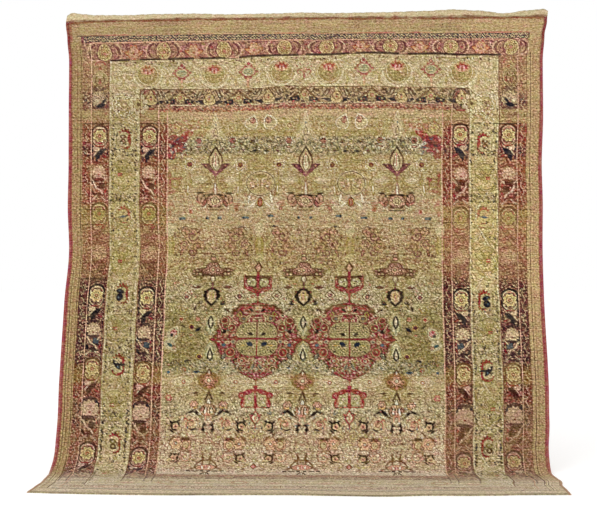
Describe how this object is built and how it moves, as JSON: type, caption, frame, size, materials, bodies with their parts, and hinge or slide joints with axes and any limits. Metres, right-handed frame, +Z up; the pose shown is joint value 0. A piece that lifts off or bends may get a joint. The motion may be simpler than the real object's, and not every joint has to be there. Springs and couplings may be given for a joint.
{
  "type": "persian rug",
  "caption": "Large hand-knotted carpet hung by its top edge, its lower end leaning forward and swept out flat over the floor, with wrapped wool side edges.",
  "frame": {"origin": "middle of the top edge, on the back face", "axes": "+Z up, +X to the viewer's right across the width, -Y towards the viewer and out of the pile; the back of the hanging part lies in the plane y = 0"},
  "size_m": [3.7071, 1.4986, 3.4786],
  "materials": {
    "pile": "worn low wool pile on a cotton ground, matte, with a faint sheen",
    "edge_wool": "wrapped red wool yarn, matte",
    "cotton_web": "flat-woven undyed cotton, matte"
  },
  "bodies": {
    "root": {"rug": "pile", "selvage_left": "edge_wool", "selvage_right": "edge_wool"}
  },
  "joints": []
}
